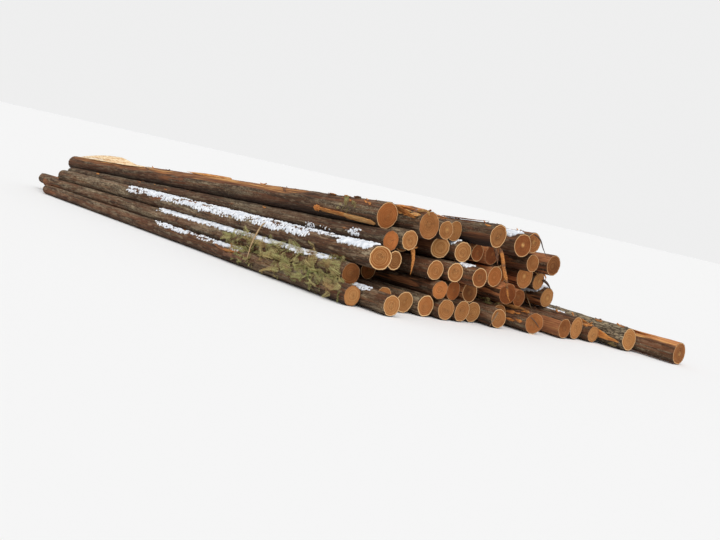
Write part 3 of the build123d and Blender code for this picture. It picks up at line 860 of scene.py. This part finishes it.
TO_THE_LEFT = (0.584, 0.806, 0.0)
for number, (name, (log, path, width, thickness, turned, ragged, blunt, fresh)) in enumerate(STRIPS.items()):
    values = dict(Face=TO_THE_LEFT, Twist=0.5) if name.startswith("hanging") else {}
    points = along_log(log, *path) if log else path
    shred(name, points, width, thickness, turned=turned, Ragged=ragged, Blunt=blunt, Fresh=fresh,
          Seed=number * 2.3, Rings=36 if len(path) > 4 else 22, **values)

# Short strips that lie along their log in a tangle and lift where they cross. Each tangle has
# its log, the strips, and the ranges of their starts, turns and lengths, width and freshness.
TANGLES = {
    "tangle_log_53": (53, 14, (0.0, 0.55), (114, 152), (0.10, 0.28), 0.045, 1.05),
    "tangle_log_11": (11, 12, (0.05, 0.55), (112, 190), (0.14, 0.34), 0.042, 0.5),
    "tangle_log_54": (54, 7, (0.3, 1.1), (84, 112), (0.14, 0.34), 0.045, 0.7),
}
chance = random.Random(77)
for number, (name, (log, count, span, turns, reaches, width, fresh)) in enumerate(TANGLES.items()):
    points = []
    for _ in range(count):
        start, turned, reach = chance.uniform(*span), chance.uniform(*turns), chance.uniform(*reaches)
        swing, rise = chance.uniform(-14, 14), chance.uniform(0.006, 0.035)
        points += along_log(
            log, (start, turned, 0.004), (start + reach * 0.4, turned + swing * 0.3, rise),
            (start + reach * 0.7, turned + swing * 0.7, rise), (start + reach, turned + swing, 0.006),
        )
    shred(name, points, width, 0.006, turned=90 - sum(turns) / 2, each=4, Ragged=0.6, Lead=0.2, Blunt=0.2,
          Fresh=fresh, Rings=14, Seed=number * 2.9 + 80)

# The torn burr on the left of the top left log, where a limb broke out.
burr_tree, grain, given = new_tree("burr", Vector="Centre Size", Float="Fresh Seed", Material="Finish")
burr = grain.step("MeshIcoSphere", {"Radius": 1.0, "Subdivisions": 5})
place = grain.step("InputPosition")
swollen = place.stretched(2.4, 2.4).mottle(given.Seed, 4.0, 0.6) * 1.5 + 0.25
shape = place.vector("MULTIPLY", given.Size).scaled(swollen).vector("ADD", given.Centre)
burr = burr.then("SetPosition", {"Position": shape})
end_tree(stored(burr, "own", given.Fresh), (given.Finish, None))
burr = grown(
    "burr_log_52", burr_tree, Centre=on_log(52, 1.39, 201), Size=(0.044, 0.074, 0.042), Fresh=0.75,
    Seed=3.0, Finish=torn_bark,
)
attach(burr, "root")

# Split slivers of pale wood that lie on the same log and stand up at its far end.
split_wood, grain, coat = new_finish("split_wood")
spot = grain.spot()
thread = spot.stretched(90.0, 6.0).mottle(8.0, 4.0, 0.6)
pale_wood = thread.rising(0.35, 0.62).tint((202, 146, 88), (252, 234, 196))
coat(Base_Color=pale_wood, Roughness=0.7, Normal=thread.bumped(0.004, 0.7))
SLIVERS = {
    "sliver_long": (
        52, ((7.3, 104, 0.004), (8.0, 101, 0.045), (8.8, 99, 0.055), (9.7, 97, 0.006)),
        0.12, 0.016, -60, 0.1),
    "sliver_low": (
        52, ((6.6, 118, 0.002), (7.6, 120, 0.008), (8.6, 118, 0.010), (9.8, 116, 0.008)),
        0.08, 0.008, -30, 0.4),
    "sliver_log_11": (11, ((0.03, 250, 0.0), (-0.01, 262, 0.0), (-0.05, 275, -0.02)), 0.04, 0.012, 0, 0.4),
}
for number, (name, (log, path, width, thickness, turned, ragged)) in enumerate(SLIVERS.items()):
    shred(name, along_log(log, *path), width, thickness, finish=split_wood, turned=turned, Ragged=ragged,
          Lead=0.3, Rings=26, Seed=number * 1.9 + 40)

# Twigs and a limb of bark that lodged between the butts, with their width and lightness.
twig_bark, grain, coat = new_finish("twig_bark")
[own] = attributes(grain, "own")
spot = grain.spot()
speckle = spot.stretched(120.0, 120.0).mottle(3.0, 3.0)
speckles = speckle.rising(0.35, 0.65)
dark_twig = speckles.tint((46, 30, 24), (84, 60, 46))
light_twig = speckles.tint((150, 112, 62), (196, 170, 134))
coat(Base_Color=own.tint(dark_twig, light_twig), Roughness=0.8, Normal=speckle.bumped(0.002, 0.7))
TWIGS = {
    "twig_yellow": (
        along_log(31, (2.60, 144, 0.02), (2.66, 180, 0.03)) + along_log(18, (2.22, 176, 0.05))
        + along_log(1, (2.36, 168, 0.06), (2.46, 196, 0.05)), 0.022, 0.95),
    "twig_over_butts": (
        ((0.24, -5.10, 1.50), (0.42, -5.10, 1.44), (0.62, -5.04, 1.30), (0.80, -5.02, 1.16)), 0.020, 0.0),
    "limb_by_log_30": (
        ((1.27, -4.636, 0.80), (1.36, -4.645, 0.765), (1.45, -4.645, 0.71), (1.505, -4.636, 0.665)),
        0.045, 0.05),
    "twig_pale": (
        ((1.32, -4.28, 0.55), (1.35, -4.36, 0.42), (1.27, -4.50, 0.345), (1.16, -4.64, 0.315)), 0.018, 0.8),
    "twig_brown": (((-0.10, -5.08, 0.26), (-0.17, -5.09, 0.14), (-0.26, -5.11, 0.01)), 0.018, 0.4),
    "twig_across_log_11": (((0.46, -5.23, 0.27), (0.61, -5.24, 0.19), (0.78, -5.24, 0.07)), 0.016, 0.1),
    "twig_on_top": (along_log(52, (0.75, 96, 0.006), (0.63, 104, 0.008), (0.52, 114, 0.006)), 0.014, 0.3),
}
for number, (name, (points, width, lightness)) in enumerate(TWIGS.items()):
    shred(name, points, width, width * 0.8, finish=twig_bark, slot="log_bark", Ragged=0.15, Rings=16,
          Fresh=lightness, Seed=number * 3.1 + 60)


# Floor, light and camera
# A pale studio floor that runs out of sight, a wide soft light overhead and a low fill, and the
# camera low at the butt end and to the left, where the pile is seen along its flank.
FLOOR_TONE, AMBIENT = 0.86, 0.55
FLOOR_REACH = 300.0
floor_finish, grain, coat = new_finish("studio_floor")
coat(Base_Color=(FLOOR_TONE, FLOOR_TONE, FLOOR_TONE, 1.0), Roughness=1.0, Specular_IOR_Level=0.0)
floor_mesh = bpy.data.meshes.new("studio_floor")
floor_corners = [(x * FLOOR_REACH, y * FLOOR_REACH, 0) for x, y in ((-1, -1), (1, -1), (1, 1), (-1, 1))]
floor_mesh.from_pydata(floor_corners, [], [(0, 1, 2, 3)])
floor_mesh.materials.append(floor_finish)
floor = linked("studio_floor", floor_mesh)

world = bpy.data.worlds.new("studio")
bpy.context.scene.world = world
world.use_nodes = True
sky = Grain(world.node_tree)
backdrop = next(n for n in world.node_tree.nodes if n.type == "BACKGROUND")
seen = sky.step("ShaderNodeLightPath", out="Is Camera Ray")
seen = seen.maths("MAXIMUM", seen.other("Is Glossy Ray")).maths("MAXIMUM", seen.other("Is Transmission Ray"))
strength = AMBIENT + seen * (FLOOR_TONE - AMBIENT)
world.node_tree.links.new(strength.socket, backdrop.inputs["Strength"])
backdrop.inputs["Color"].default_value = (1.0, 1.0, 1.0, 1.0)

# The overcast sky, and the low glow that snow on the ground throws in between the logs: how
# wide each is in degrees, how strong, and which way it shines.
LIGHTS = {"overcast": (70, 1.75, (0.42, 0.62, -1.0)), "ground_glow": (120, 0.72, (0.45, 0.88, -0.12))}
for name, (width, energy, way) in LIGHTS.items():
    light = bpy.data.lights.new(name, "SUN")
    light.angle = math.radians(width)
    light.energy = energy
    linked(name, light).rotation_euler = Vector(way).to_track_quat("-Z", "Y").to_euler()

# The camera stands where the fit puts it, and turns from straight ahead to the pile.
EYE = Vector((-12.548, -16.068, 1.76))
AHEAD, RIGHT = Vector((0.584, 0.806, -0.099)), Vector((0.804, -0.556, 0.212))
UP = Vector((-0.116, 0.203, 0.972))
LENS_PIXELS, NEARER, PICTURE_WIDTH = 728.0, 1.52, 720
PILE_RIGHT, PILE_UP = 67, -2
view = (AHEAD + RIGHT * PILE_RIGHT / LENS_PIXELS + UP * PILE_UP / LENS_PIXELS).normalized()
camera = bpy.data.cameras.new("camera")
camera.sensor_width = 36.0
camera.lens = 36.0 * LENS_PIXELS * NEARER / PICTURE_WIDTH
camera.clip_end = 500.0
eye = linked("camera", camera)
across = view.cross(UP).normalized()
eye.matrix_world = Matrix.Translation(EYE) @ Matrix((across, across.cross(view), -view)).transposed().to_4x4()
bpy.context.scene.camera = eye
bpy.context.scene.view_settings.view_transform = "Standard"
